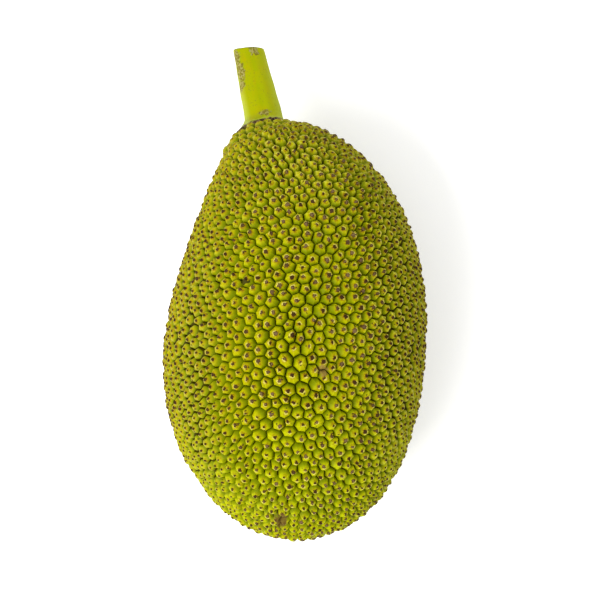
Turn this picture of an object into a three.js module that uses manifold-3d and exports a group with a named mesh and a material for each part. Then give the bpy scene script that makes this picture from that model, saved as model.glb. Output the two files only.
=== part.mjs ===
// A whole jackfruit as picked, lying on its side, with a short length of its stalk.
// Millimetres, +Z up, +Y along the fruit towards the stalk. The origin is in the middle of the
// small flat spot that the fruit rests on.
//
// Two solids: the fruit, whose rind is closed all over with blunt tubercles, and the stalk, which
// ends in a collar draped on the fruit and a root sunk into it.
import * as THREE from "three";
import { ConvexHull } from "three/addons/math/ConvexHull.js";
import { mergeVertices } from "three/addons/utils/BufferGeometryUtils.js";
import Module from "manifold-3d";

// Driving dimensions of the fruit, measured over the tips of its tubercles.
const FRUIT_LENGTH = 320;
const FRUIT_WIDTH = 200;
const FRUIT_THICKNESS = 191;
const TAPER = 0.096; // how much narrower the stalk end is than the blossom end
const SHOULDER = 0.148; // how blunt the shoulder round the stalk is
const BEND = [0, 11.2, 9, -18.7, -15.8]; // sideways curve of the centre line, by powers of s
const END_POWER = 16; // how suddenly the stalk end departs from that form
const END_SHIFT = 8; // sideways, at the very end
const END_BLUNTNESS = 0.12;
const DROOP_DEG = 3; // the stalk end lies this much lower than the blossom end
const FLAT_DEPTH = 2.6; // how much the tips are pressed flat where the fruit rests

// The tubercles: a cell of rind each, one for one flower of the compound fruit.
const TUBERCLES = 1780;
const TUBERCLE_HEIGHT = 7;
const HEIGHT_SPREAD = 0.12; // share by which heights differ
const SPIRAL_JITTER = 0.42; // share of the spacing by which the spiral is upset
const EVENING_ROUNDS = 14;
const EVENING_RATE = 0.35;
const EVENING_REACH = 1.4; // spacings within which two tubercles push each other

// The stalk. Sideways lean and droop are those of its axis.
const STALK_LENGTH = 71.6;
const STALK_TOP_DIAMETER = 24;
const STALK_BASE_DIAMETER = 29.6;
const STALK_LEAN_DEG = 12.3;
const STALK_DROOP_DEG = 18;
const STALK_BREAKOUT = [-24.2, -12]; // x and z on the fruit where its axis comes out
const CUT_SLANT = [-0.18, 0.2]; // how much higher the cut end is per mm along the frame's x and y
const COLLAR_RADIUS = 20.2;
const COLLAR_DRIFT = 4.5; // the collar reaches this much further on the -X side
const COLLAR_RISE = 15; // height at which the shaft begins to flare into the collar
const COLLAR_LIP = 6.8; // height of the lip
const COLLAR_DRAPE = 0.35; // share of the rind's own fall that the lip follows
const COLLAR_GAP = 0.45; // between the collar's underside and the rind
const ROOT_RADIUS = 12.5;
const ROOT_DEPTH = 9;
const STALK_GAP = 0.3; // room left all round the stalk where it is sunk in the fruit
const STALK_SIDES = 36;
const STALK_RIBS = 5;
const STALK_RIB_DEPTH = 0.35;

const RANDOM_SEED = 20;
const GOLDEN_ANGLE = Math.PI * (3 - Math.sqrt(5));
const HALF_LENGTH = FRUIT_LENGTH / 2;
const HALF_WIDTH = FRUIT_WIDTH / 2;
const HALF_THICKNESS = FRUIT_THICKNESS / 2;

const wasm = await Module();
wasm.setup();

// A repeatable source of numbers from 0 to 1.
function randomSource(seed) {
  let state = seed;
  return () => {
    state = (state + 0x6d2b79f5) | 0;
    let t = Math.imul(state ^ (state >>> 15), 1 | state);
    t = (t + Math.imul(t ^ (t >>> 7), 61 | t)) ^ t;
    return ((t ^ (t >>> 14)) >>> 0) / 4294967296;
  };
}

// The fruit's form. s runs along its length from -1 at the blossom end to 1 at the stalk end.

// How much of the stalk end's own form is felt at s.
function endShare(s) {
  return Math.max(0, s) ** END_POWER;
}

// Half width as a share of the half width at the middle, for a section of unit height.
function fullness(s) {
  return 1 - TAPER * s + (SHOULDER * (s ** 5 + s ** 6)) / 2 + END_BLUNTNESS * endShare(s);
}

// Sideways place of the centre line.
function bend(s) {
  return BEND.reduce((sum, factor, power) => sum + factor * s ** power, END_SHIFT * endShare(s));
}

// The point of the surface through the tips for a direction on the unit sphere, Y along the fruit.
function tipPoint(direction) {
  const full = fullness(direction.y);
  return new THREE.Vector3(
    bend(direction.y) + HALF_WIDTH * full * direction.x,
    HALF_LENGTH * direction.y,
    HALF_THICKNESS * full * direction.z,
  );
}

// A point in the sphere's own space: its length is under 1 inside the fruit and over 1 outside.
function sphereSpace(point) {
  const s = THREE.MathUtils.clamp(point.y / HALF_LENGTH, -1, 1);
  const full = fullness(s);
  return new THREE.Vector3(
    (point.x - bend(s)) / (HALF_WIDTH * full),
    point.y / HALF_LENGTH,
    point.z / (HALF_THICKNESS * full),
  );
}

// The outward normal at a direction, from two short steps along the surface.
function normalAt(direction) {
  const step = 1e-3;
  const side = new THREE.Vector3(0.3, 0.2, 0.93).cross(direction).normalize();
  const other = direction.clone().cross(side);
  const here = tipPoint(direction);
  const along = (way) =>
    tipPoint(direction.clone().addScaledVector(way, step).normalize()).sub(here);
  const normal = along(side).cross(along(other)).normalize();
  return normal.dot(direction) < 0 ? normal.negate() : normal;
}

// The point at a depth under the surface through the tips.
function pointBelow(direction, depth) {
  return tipPoint(direction).addScaledVector(normalAt(direction), -depth);
}

// The direction whose tip is lowest once the fruit lies down, found by shorter and shorter steps.
function lowestDirection(lie) {
  const height = (direction) => tipPoint(direction).applyMatrix4(lie).z;
  let lowest = new THREE.Vector3(0, 0, -1);
  for (let step = 0.2; step > 1e-4; step /= 2) {
    for (let turn = 0; turn < 32; turn += 1) {
      const angle = (turn / 8) * Math.PI;
      const tried = lowest
        .clone()
        .add(new THREE.Vector3(Math.cos(angle) * step, Math.sin(angle) * step, 0))
        .normalize();
      if (height(tried) < height(lowest)) lowest = tried;
    }
  }
  return lowest;
}

// Directions of the tubercles: a spiral from end to end that gives each an equal share of the rind,
// upset a little and then evened out by letting close neighbours push each other away.
function tubercleDirections(pinned) {
  const steps = 2000;
  const area = [0];
  for (let i = 0; i < steps; i += 1) {
    const [s0, s1] = [i, i + 1].map((k) => -Math.cos((Math.PI * k) / steps));
    const [r0, r1] = [s0, s1].map(
      (s) => HALF_WIDTH * fullness(s) * Math.sqrt(Math.max(0, 1 - s * s)),
    );
    const slant = Math.hypot(r1 - r0, HALF_LENGTH * (s1 - s0));
    area.push(area[i] + Math.PI * (r0 + r1) * slant);
  }
  const spacing = Math.sqrt((area[steps] / TUBERCLES) * (2 / Math.sqrt(3)));
  const reach = EVENING_REACH * spacing;
  const random = randomSource(RANDOM_SEED);
  const directions = [];
  let band = 0;
  for (let i = 0; i < TUBERCLES; i += 1) {
    const share = ((i + 0.5) / TUBERCLES) * area[steps];
    while (area[band + 1] < share) band += 1;
    const part = (share - area[band]) / (area[band + 1] - area[band]);
    const s = -Math.cos((Math.PI * (band + part)) / steps);
    const ring = Math.sqrt(1 - s * s);
    const turn = i * GOLDEN_ANGLE;
    const seed = tipPoint(new THREE.Vector3(ring * Math.cos(turn), s, ring * Math.sin(turn)));
    const upset = new THREE.Vector3(random() - 0.5, random() - 0.5, random() - 0.5);
    seed.addScaledVector(upset, 2 * SPIRAL_JITTER * spacing);
    directions.push(sphereSpace(seed).normalize());
  }

  const nearest = directions.reduce(
    (best, d, i) => (d.distanceTo(pinned) < directions[best].distanceTo(pinned) ? i : best),
    0,
  );
  directions[nearest] = pinned.clone();
  for (let round = 0; round < EVENING_ROUNDS; round += 1) {
    const points = directions.map(tipPoint);
    const pushes = points.map(() => new THREE.Vector3());
    for (let i = 0; i < TUBERCLES; i += 1) {
      for (let j = i + 1; j < TUBERCLES; j += 1) {
        const distance = points[i].distanceTo(points[j]);
        if (distance > reach) continue;
        const gap = points[i].clone().sub(points[j]);
        gap.multiplyScalar((EVENING_RATE * (reach - distance)) / distance);
        pushes[i].add(gap);
        pushes[j].sub(gap);
      }
    }
    points.forEach((point, i) => {
      if (i !== nearest) directions[i] = sphereSpace(point.add(pushes[i])).normalize();
    });
  }
  return directions;
}

// Directions moved along the sphere so that small circles on the fruit stay circles. The hull of
// these points joins each tubercle to its true neighbours, although the fruit is long.
function roundedDirections(directions) {
  const steps = 4000;
  const stretch = [0];
  const edge = 1 - 1e-6;
  const place = (i) => -Math.cos((Math.PI * i) / steps) * edge;
  for (let i = 0; i < steps; i += 1) {
    const s0 = place(i);
    const s1 = place(i + 1);
    const middle = (s0 + s1) / 2;
    const radius = (s) => HALF_WIDTH * fullness(s) * Math.sqrt(1 - s * s);
    const slant = Math.hypot(radius(s1) - radius(s0), HALF_LENGTH * (s1 - s0));
    stretch.push(stretch[i] + slant / radius(middle));
  }
  const centre = stretch[steps / 2];
  return directions.map((direction) => {
    const s = THREE.MathUtils.clamp(direction.y, -edge, edge);
    const at = (Math.acos(-s / edge) / Math.PI) * steps;
    const low = Math.min(Math.floor(at), steps - 1);
    const reach = THREE.MathUtils.lerp(stretch[low], stretch[low + 1], at - low) - centre;
    const ring = 1 / Math.cosh(reach);
    const turn = Math.atan2(direction.z, direction.x);
    return new THREE.Vector3(ring * Math.cos(turn), Math.tanh(reach), ring * Math.sin(turn));
  });
}

// The stalk's own frame: its Z runs out along the axis, its X points to the far side of the lean,
// and its origin lies where the axis comes out of the rind's valleys.
function stalkFrame() {
  const lean = THREE.MathUtils.degToRad(STALK_LEAN_DEG);
  const droop = THREE.MathUtils.degToRad(STALK_DROOP_DEG - DROOP_DEG);
  const axis = new THREE.Vector3(
    -Math.sin(lean) * Math.cos(droop),
    Math.cos(lean) * Math.cos(droop),
    -Math.sin(droop),
  );
  const side = new THREE.Vector3(Math.cos(lean), Math.sin(lean), 0);
  const basis = new THREE.Matrix4().makeBasis(side, axis.clone().cross(side), axis);
  const [x, z] = STALK_BREAKOUT;
  const start = new THREE.Vector3(x, HALF_LENGTH, z).addScaledVector(axis, -20);
  const frame = basis.clone().setPosition(start);
  return basis.setPosition(new THREE.Vector3(0, 0, rindHeight(frame, 0, 0)).applyMatrix4(frame));
}

// Height in the stalk's frame at which a line along its axis comes out of the rind's valleys.
function rindHeight(frame, x, y) {
  let low = -60;
  let high = 60;
  for (let i = 0; i < 40; i += 1) {
    const middle = (low + high) / 2;
    const space = sphereSpace(new THREE.Vector3(x, y, middle).applyMatrix4(frame));
    const surface = tipPoint(space.clone().normalize());
    const depth = surface.length() * (1 - space.length());
    if (depth > TUBERCLE_HEIGHT) low = middle;
    else high = middle;
  }
  return (low + high) / 2;
}

// Reach of the collar's lip from the stalk's axis at an angle round it.
function collarReach(angle) {
  return COLLAR_RADIUS - COLLAR_DRIFT * Math.cos(angle);
}

// One closed surface from rings of points: each ring is a list, and the ends close on a point.
function closedRings(first, rings, last) {
  const vertices = [first, ...rings.flat(), last];
  const sides = rings[0].length;
  const index = [];
  for (let i = 0; i < sides; i += 1) {
    const next = (i + 1) % sides;
    index.push(0, 1 + i, 1 + next);
    for (let ring = 0; ring + 1 < rings.length; ring += 1) {
      const a = 1 + ring * sides;
      const b = a + sides;
      index.push(a + i, b + i, a + next, a + next, b + i, b + next);
    }
    const end = 1 + (rings.length - 1) * sides;
    index.push(end + i, vertices.length - 1, end + next);
  }
  return new THREE.BufferGeometry().setFromPoints(vertices).setIndex(index);
}

// The stalk from its cut end down the shaft, out over the collar, and in to the sunk root. With an
// allowance it is that much thicker all round, which is the room that the fruit leaves for it.
function stalkGeometry(frame, allowance = 0) {
  const ring = (radius, height) =>
    Array.from({ length: STALK_SIDES }, (_, i) => {
      const angle = (i / STALK_SIDES) * 2 * Math.PI;
      const r = radius(angle) + allowance;
      const x = r * Math.cos(angle);
      const y = r * Math.sin(angle);
      return new THREE.Vector3(x, y, height(angle, x, y)).applyMatrix4(frame);
    });
  const rind = (angle) =>
    rindHeight(frame, collarReach(angle) * Math.cos(angle), collarReach(angle) * Math.sin(angle));
  const rinds = Array.from({ length: STALK_SIDES }, (_, i) => rind((i / STALK_SIDES) * 2 * Math.PI));
  const rindAt = (angle) => rinds[Math.round((angle / (2 * Math.PI)) * STALK_SIDES) % STALK_SIDES];
  const lipAt = (angle) => COLLAR_DRAPE * rindAt(angle) + COLLAR_LIP;
  const topRadius = STALK_TOP_DIAMETER / 2;
  const baseRadius = STALK_BASE_DIAMETER / 2;
  const ribs = (angle) => STALK_RIB_DEPTH * Math.cos(STALK_RIBS * angle + 0.6);
  const shaft = (t) => (angle) => THREE.MathUtils.lerp(topRadius, baseRadius, t) + ribs(angle);
  const flat = (z) => () => z;
  const cut = (z) => (_, x, y) => z + CUT_SLANT[0] * x + CUT_SLANT[1] * y;

  const rings = [ring((angle) => shaft(0)(angle) - 1.4, cut(STALK_LENGTH))];
  rings.push(ring(shaft(0), cut(STALK_LENGTH - 1.2)));
  for (const t of [0.2, 0.4, 0.6, 0.8, 1]) {
    rings.push(ring(shaft(t), flat(THREE.MathUtils.lerp(STALK_LENGTH, COLLAR_RISE, t))));
  }
  for (const t of [0.35, 0.65, 0.88, 1]) {
    const out = t ** 1.7;
    rings.push(
      ring(
        (angle) => THREE.MathUtils.lerp(shaft(1)(angle), collarReach(angle), out),
        (angle) => THREE.MathUtils.lerp(COLLAR_RISE, lipAt(angle), t) + allowance,
      ),
    );
  }
  const under = COLLAR_GAP - allowance;
  const rootEnd = -ROOT_DEPTH - allowance;
  rings.push(ring(collarReach, (angle) => rindAt(angle) + under));
  rings.push(ring(() => ROOT_RADIUS, (_, x, y) => rindHeight(frame, x, y) + under));
  rings.push(ring(() => ROOT_RADIUS, flat(rootEnd)));
  const onAxis = (z) => new THREE.Vector3(0, 0, z).applyMatrix4(frame);
  return closedRings(onAxis(STALK_LENGTH), rings, onAxis(rootEnd));
}

// The rind: a fan of faces for each tubercle, from its tip to the valley corners shared with its
// neighbours. Under the collar the tips stay down at the valleys.
function rindGeometry(directions, frame) {
  const random = randomSource(RANDOM_SEED + 1);
  const toStalk = frame.clone().invert();
  const tips = directions.map((direction) => {
    const local = tipPoint(direction).applyMatrix4(toStalk);
    const reach = Math.hypot(local.x, local.y) - collarReach(Math.atan2(local.y, local.x));
    const covered = local.z > -40 && reach < 1.5;
    const height = TUBERCLE_HEIGHT * (1 + HEIGHT_SPREAD * (2 * random() - 1));
    return pointBelow(direction, covered ? TUBERCLE_HEIGHT : TUBERCLE_HEIGHT - height);
  });

  const places = roundedDirections(directions);
  const numberOf = new Map(places.map((place, i) => [place, i]));
  const { faces } = new ConvexHull().setFromPoints(places);
  const edgesOf = (face) => [face.edge, face.edge.next, face.edge.next.next];
  const vertices = [...tips];
  const cornerOf = new Map();
  for (const face of faces) {
    const middle = new THREE.Vector3();
    for (const edge of edgesOf(face)) middle.add(tipPoint(directions[numberOf.get(edge.head().point)]));
    const direction = sphereSpace(middle.divideScalar(3)).normalize();
    cornerOf.set(face, vertices.length);
    vertices.push(pointBelow(direction, TUBERCLE_HEIGHT));
  }
  const index = [];
  for (const edge of faces.flatMap(edgesOf)) {
    const tip = numberOf.get(edge.tail().point);
    index.push(tip, cornerOf.get(edge.twin.face), cornerOf.get(edge.face));
  }
  return new THREE.BufferGeometry().setFromPoints(vertices).setIndex(index);
}

// A geometry as a solid that can be cut, and back.
function toSolid(geometry) {
  const plain = geometry.index ? geometry.toNonIndexed() : geometry.clone();
  const bare = new THREE.BufferGeometry().setAttribute("position", plain.getAttribute("position"));
  const merged = mergeVertices(bare, 1e-4);
  return new wasm.Manifold(
    new wasm.Mesh({
      numProp: 3,
      vertProperties: merged.attributes.position.array,
      triVerts: new Uint32Array(merged.index.array),
    }),
  );
}

function toGeometry(solid) {
  const mesh = solid.getMesh();
  return new THREE.BufferGeometry()
    .setAttribute("position", new THREE.BufferAttribute(mesh.vertProperties, 3))
    .setIndex(new THREE.BufferAttribute(mesh.triVerts, 1));
}

// What the fruit rests on: everything below the floor is pressed away.
function floorBlock(lie) {
  const size = 2 * FRUIT_LENGTH;
  return new THREE.BoxGeometry(size, size, size)
    .translate(0, 0, -size / 2)
    .applyMatrix4(lie.clone().invert());
}

// How the fruit lies: drooped towards the stalk, with its lowest tip over the origin.
const droop = new THREE.Matrix4().makeRotationX(-THREE.MathUtils.degToRad(DROOP_DEG));
const restDirection = lowestDirection(droop);
const restPoint = tipPoint(restDirection).applyMatrix4(droop);
const lie = new THREE.Matrix4()
  .makeTranslation(-restPoint.x, -restPoint.y, -restPoint.z - FLAT_DEPTH)
  .multiply(droop);

const frame = stalkFrame();
const rind = toSolid(rindGeometry(tubercleDirections(restDirection), frame))
  .subtract(toSolid(floorBlock(lie)))
  .subtract(toSolid(stalkGeometry(frame, STALK_GAP)));

const fruit = new THREE.Mesh(
  toGeometry(rind),
  new THREE.MeshStandardMaterial({ color: 0x8f8d14, roughness: 0.55, metalness: 0 }),
);
fruit.name = "fruit";

const stalk = new THREE.Mesh(
  stalkGeometry(frame),
  new THREE.MeshStandardMaterial({ color: 0xb5ba18, roughness: 0.5, metalness: 0 }),
);
stalk.name = "stalk";

const jackfruit = new THREE.Group();
jackfruit.add(fruit, stalk);
jackfruit.applyMatrix4(lie);

export default jackfruit;
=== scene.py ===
# %% [markdown]
# # A whole jackfruit
# A jackfruit is a compound fruit: each blunt tubercle on its rind grew from one flower. This lesson
# builds the finished look of one fruit that lies on its side. The solids that are loaded first give
# the true size and place. The two pieces modelled here, the rind and the stalk, take their place.

# %% Load the solids
import math
import random

import bmesh
import bpy
from mathutils import Matrix, Vector, kdtree, noise


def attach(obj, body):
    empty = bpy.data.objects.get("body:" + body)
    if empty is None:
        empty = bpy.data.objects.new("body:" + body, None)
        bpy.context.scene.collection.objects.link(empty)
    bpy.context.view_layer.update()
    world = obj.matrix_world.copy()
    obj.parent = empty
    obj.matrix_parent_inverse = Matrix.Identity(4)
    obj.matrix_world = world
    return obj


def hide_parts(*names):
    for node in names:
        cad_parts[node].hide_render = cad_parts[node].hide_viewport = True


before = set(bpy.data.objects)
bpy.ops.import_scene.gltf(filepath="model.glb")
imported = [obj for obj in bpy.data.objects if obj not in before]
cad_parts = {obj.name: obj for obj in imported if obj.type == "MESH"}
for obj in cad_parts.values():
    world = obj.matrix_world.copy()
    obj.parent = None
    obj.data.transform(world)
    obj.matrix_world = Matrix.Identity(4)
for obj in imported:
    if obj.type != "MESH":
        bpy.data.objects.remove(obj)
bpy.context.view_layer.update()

# %% [markdown]
# The solids' meshes are kept, each moved into world space, and the rest that came with them goes.

# %% [markdown]
# ## The form of the fruit
# A long fruit is easiest to describe as a stretched ball. A direction from the middle of a ball is
# sent to a point of the rind. Its y is s, the place along the fruit, from -1 at the blossom end to
# 1 at the stalk end. The width changes with s by a short formula, and the centre line bends.

# %% Driving dimensions, in metres
FRUIT_LENGTH = 0.320
FRUIT_WIDTH = 0.200
FRUIT_THICKNESS = 0.191
TAPER = 0.096
SHOULDER = 0.148
BEND = (0, 0.0112, 0.009, -0.0187, -0.0158)  # factors of 1, s, s squared and so on
END_POWER = 16  # how suddenly the stalk end's own form sets in
END_SHIFT = 0.008
END_BLUNTNESS = 0.12
DROOP = math.radians(3)
FLAT_DEPTH = 0.0026

STALK_LENGTH = 0.0716
STALK_TOP_RADIUS = 0.012
STALK_BASE_RADIUS = 0.0148
STALK_LEAN = math.radians(12.3)
STALK_DROOP = math.radians(18)
STALK_BREAKOUT = (-0.0242, -0.012)
CUT_SLANT = (-0.18, 0.2)
COLLAR_RADIUS = 0.0202
COLLAR_DRIFT = 0.0045
COLLAR_RISE = 0.015
COLLAR_LIP = 0.0068
COLLAR_DRAPE = 0.35
ROOT_RADIUS = 0.0125
ROOT_DEPTH = 0.009

VALLEY_DEPTH = 0.0085
SEAT_DEPTH = 0.007  # where the stalk's axis comes out
ASKEW = Vector((0.3, 0.2, 0.93))  # any direction that the ways along the surface can start from
print("fruit", FRUIT_LENGTH, "x", FRUIT_WIDTH, "x", FRUIT_THICKNESS, "m")


# %% From a direction to the rind and back
def end_share(s):
    """How much of the stalk end's own form is felt at s."""
    return max(0, s) ** END_POWER


def fullness(s):
    """Half width at s, as a share of the half width at the middle, for a section of unit height."""
    return 1 - TAPER * s + SHOULDER * (s**5 + s**6) / 2 + END_BLUNTNESS * end_share(s)


def bend(s):
    """Sideways place of the centre line."""
    return sum(factor * s**power for power, factor in enumerate(BEND)) + END_SHIFT * end_share(s)


def tip_point(direction):
    """The point of the surface through the tips of the tubercles."""
    full = fullness(direction.y)
    return Vector((
        bend(direction.y) + FRUIT_WIDTH / 2 * full * direction.x,
        FRUIT_LENGTH / 2 * direction.y,
        FRUIT_THICKNESS / 2 * full * direction.z,
    ))


def ball_space(point):
    """A point sent back to the ball: shorter than 1 inside the fruit, longer outside."""
    s = max(-1, min(1, point.y / (FRUIT_LENGTH / 2)))
    full = fullness(s)
    return Vector((
        (point.x - bend(s)) / (FRUIT_WIDTH / 2 * full),
        point.y / (FRUIT_LENGTH / 2),
        point.z / (FRUIT_THICKNESS / 2 * full),
    ))


def normal_at(direction, step=1e-3):
    """The way out of the fruit, from two short steps along the surface."""
    side = ASKEW.cross(direction).normalized()
    other = direction.cross(side)
    here = tip_point(direction)
    ways = [tip_point((direction + step * way).normalized()) - here for way in (side, other)]
    normal = ways[0].cross(ways[1]).normalized()
    return normal if normal.dot(direction) > 0 else -normal


print("stalk end at", tip_point(Vector((0, 1, 0))), "facing", normal_at(Vector((0, 1, 0))))

# %% [markdown]
# ## How it lies
# The fruit droops a little towards its stalk, and its lowest tubercles are pressed flat. The lowest
# direction is found by shorter and shorter steps, and the fruit is moved so that it comes to rest
# over the origin.


# %% Find the resting place
FIRST_STEP = 0.2
LAST_STEP = 1e-4
STEP_WAYS = 16


def lowest_direction(turned):
    """The direction whose tip is lowest."""
    lowest = Vector((0, 0, -1))
    step = FIRST_STEP
    while step > LAST_STEP:
        for turn in range(2 * STEP_WAYS):
            angle = turn / STEP_WAYS * math.tau
            tried = lowest + step * Vector((math.cos(angle), math.sin(angle), 0))
            tried.normalize()
            if (turned @ tip_point(tried)).z < (turned @ tip_point(lowest)).z:
                lowest = tried
        step /= 2
    return lowest


turned = Matrix.Rotation(-DROOP, 4, "X")
rest_direction = lowest_direction(turned)
rest_point = turned @ tip_point(rest_direction)
lie = Matrix.Translation(-rest_point - Vector((0, 0, FLAT_DEPTH))) @ turned
print("middle of the fruit comes to", lie.translation)

# %% [markdown]
# ## Camera
# The camera looks straight down on the fruit, through a long lens, so that the sides keep their
# true outline. The middle of the fruit falls a little below the middle of the picture, because the
# stalk needs room above it.

# %% Place the camera
IMAGE_WIDTH = 600
METRES_PER_PIXEL = 0.000757
FRUIT_MIDDLE_PIXEL = (295.9, 330.75)
CAMERA_DISTANCE = 2.5

middle = lie.translation
aim = Vector((
    middle.x + (IMAGE_WIDTH / 2 - FRUIT_MIDDLE_PIXEL[0]) * METRES_PER_PIXEL,
    middle.y - (IMAGE_WIDTH / 2 - FRUIT_MIDDLE_PIXEL[1]) * METRES_PER_PIXEL,
    middle.z,
))
camera_data = bpy.data.cameras.new("camera")
camera_data.lens = camera_data.sensor_width * CAMERA_DISTANCE / (IMAGE_WIDTH * METRES_PER_PIXEL)
camera = bpy.data.objects.new("camera", camera_data)
camera.location = aim + Vector((0, 0, CAMERA_DISTANCE))
bpy.context.scene.collection.objects.link(camera)
bpy.context.scene.camera = camera
print("lens", round(camera_data.lens), "mm at", camera.location)

# %% [markdown]
# ## The stalk's frame
# Both pieces need to know where the stalk stands: its z runs out along the stalk's axis, and its
# origin is where that axis comes out of the seat under its collar.


# %% Find where the stalk comes out
SEARCH_REACH = 0.06
SEARCH_ROUNDS = 30
START_INSIDE = 0.02


def rind_height(stalk_frame, x, y):
    """Height in the stalk's frame at which a line along its axis comes out at the seat's depth."""
    low, high = -SEARCH_REACH, SEARCH_REACH
    for _ in range(SEARCH_ROUNDS):
        middle = (low + high) / 2
        inside = ball_space(stalk_frame @ Vector((x, y, middle)))
        depth = tip_point(inside.normalized()).length * (1 - inside.length)
        if depth > SEAT_DEPTH:
            low = middle
        else:
            high = middle
    return (low + high) / 2


def find_stalk_frame():
    """The frame as a matrix."""
    droop = STALK_DROOP - DROOP
    axis = Vector((
        -math.sin(STALK_LEAN) * math.cos(droop),
        math.cos(STALK_LEAN) * math.cos(droop),
        -math.sin(droop),
    ))
    side = Vector((math.cos(STALK_LEAN), math.sin(STALK_LEAN), 0))
    basis = Matrix((side, axis.cross(side), axis)).transposed().to_4x4()
    start = Vector((STALK_BREAKOUT[0], FRUIT_LENGTH / 2, STALK_BREAKOUT[1])) - START_INSIDE * axis
    rough = Matrix.Translation(start) @ basis
    return Matrix.Translation(rough @ Vector((0, 0, rind_height(rough, 0, 0)))) @ basis


def collar_reach(angle):
    """How far the collar's lip lies from the axis."""
    return COLLAR_RADIUS - COLLAR_DRIFT * math.cos(angle)


stalk_frame = find_stalk_frame()
to_stalk = stalk_frame.inverted()
stalk_axis = stalk_frame.to_3x3() @ Vector((0, 0, 1))


def rind_under(angle):
    """Height of the rind's valleys under the lip."""
    reach = collar_reach(angle)
    return rind_height(stalk_frame, reach * math.cos(angle), reach * math.sin(angle))


def lip_height(angle):
    """Height of the collar's lip, which drapes a little on the rind."""
    return COLLAR_LIP + COLLAR_DRAPE * rind_under(angle)


print("stalk comes out at", stalk_frame.translation)

# %% [markdown]
# ## Where the tubercles grow
# On the rind the tubercles crowd each other like cells, in curved rows that show best on the
# flanks. Those on the belly are the widest, and those by the stalk the smallest. A formula says how
# wide they are at each place, so that one rule sows them all.

# %% Spacing of the tubercles
MILLIMETRES = 1000  # in a metre
SPACING = 0.0086
ABOVE_CLOSER = 0.06  # how much closer they stand on the upper side, as a share
BELLY_WIDER = 0.18
STALK_CLOSER = 0.04
ABOVE_HEIGHTS = (-0.3, 0.3)  # on the ball, where a change starts and where it is full
STALK_PLACES = (0.45, 0.9)
BELLY_LENGTH = 0.5
BELLY_WIDTH = 0.45


def ease(value, low, high):
    """0 up to low, 1 from high on, and a smooth step between."""
    t = max(0, min(1, (value - low) / (high - low)))
    return t * t * (3 - 2 * t)


def belly_share(direction, half_width):
    """1 in the middle of the belly, falling away to 0 round it."""
    return math.exp(-((direction.x / half_width) ** 2) - (direction.y / BELLY_LENGTH) ** 2)


def spacing_at(direction):
    """Distance between neighbouring tubercles."""
    belly = belly_share(direction, BELLY_WIDTH)
    above = ease(direction.z, *ABOVE_HEIGHTS)
    by_stalk = ease(direction.y, *STALK_PLACES)
    closer = above * (ABOVE_CLOSER - BELLY_WIDER * belly)
    return SPACING * (1 - closer - STALK_CLOSER * by_stalk)


print("spacing on the belly", round(MILLIMETRES * spacing_at(Vector((0, 0, 1))), 1), "mm")

# %% [markdown]
# Where the stalk stands, its collar drapes on the rind. The rind rises there to meet the collar's
# lip, and the nearest tubercles stand clear of its edge, because one that straddled it would cut
# through it.

# %% The rind round the collar
COLLAR_MARGIN = 0.2  # share of the spacing that stays clear of the edge
COLLAR_SWELL = 0.8
COLLAR_SWELL_ENDS = (0.002, 0.016)
DEEP_INSIDE = -0.04
FAR_AWAY = 1


def collar_distance(point):
    """How far a point lies outside the collar's edge, or inside it if negative."""
    local = to_stalk @ point
    if local.z < DEEP_INSIDE:
        return FAR_AWAY
    return math.hypot(local.x, local.y) - collar_reach(math.atan2(local.y, local.x))


def risen(point):
    """A point of the rind. Round the collar the rind rises along the stalk to meet the lip."""
    distance = collar_distance(point)
    if distance > COLLAR_SWELL_ENDS[1]:
        return point
    local = to_stalk @ point
    short = max(0, lip_height(math.atan2(local.y, local.x)) - local.z)
    share = 1 - ease(distance, *COLLAR_SWELL_ENDS)
    return point + COLLAR_SWELL * share * short * stalk_axis


def clear_of_collar(direction):
    """The same direction, or the nearest one that doesn't straddle the collar's edge."""
    point = tip_point(direction)
    distance = collar_distance(point)
    margin = COLLAR_MARGIN * spacing_at(direction)
    if abs(distance) > margin:
        return direction
    local = to_stalk @ point
    flat = math.hypot(local.x, local.y)
    scale = (flat - distance + math.copysign(margin, distance)) / flat
    moved = stalk_frame @ Vector((local.x * scale, local.y * scale, local.z))
    return ball_space(moved).normalized()


end_distance = collar_distance(tip_point(Vector((0, 1, 0))))
print("the fruit's end is", round(MILLIMETRES * end_distance), "mm outside the collar's edge")

# %% [markdown]
# Points scattered at random would lose the rows, so the tubercles are sown on a spiral. A turn by
# the golden angle from each to the next keeps them apart, and each gets an equal share of the rind.

# %% Sow on a spiral
SOWN = 3150
GOLDEN_ANGLE = math.pi * (3 - math.sqrt(5))
AREA_STEPS = 2000


def spiral_directions(count):
    """Directions in a spiral from end to end, each with an equal share of the rind."""
    edges = [-math.cos(math.pi * i / AREA_STEPS) for i in range(AREA_STEPS + 1)]
    radii = [FRUIT_WIDTH / 2 * fullness(s) * math.sqrt(max(0, 1 - s * s)) for s in edges]
    area = [0]
    for i in range(AREA_STEPS):
        slant = math.hypot(radii[i + 1] - radii[i], FRUIT_LENGTH / 2 * (edges[i + 1] - edges[i]))
        area.append(area[i] + math.pi * (radii[i] + radii[i + 1]) * slant)
    directions = []
    band = 0
    for i in range(count):
        share = (i + 0.5) / count * area[AREA_STEPS]
        while area[band + 1] < share:
            band += 1
        part = (share - area[band]) / (area[band + 1] - area[band])
        s = -math.cos(math.pi * (band + part) / AREA_STEPS)
        ring = math.sqrt(1 - s * s)
        angle = i * GOLDEN_ANGLE
        directions.append(Vector((ring * math.cos(angle), s, ring * math.sin(angle))))
    return directions, area[AREA_STEPS]


spiral, rind_area = spiral_directions(SOWN)
print(len(spiral), "places on", round(rind_area * 1e4), "square centimetres")

# %% [markdown]
# The spiral is too regular and too dense. It is thinned where the tubercles are wider, and shaken,
# most on the belly, where real rows are lost. Then close neighbours push each other apart, round
# after round, some harder than others, so that the sizes differ.

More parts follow.
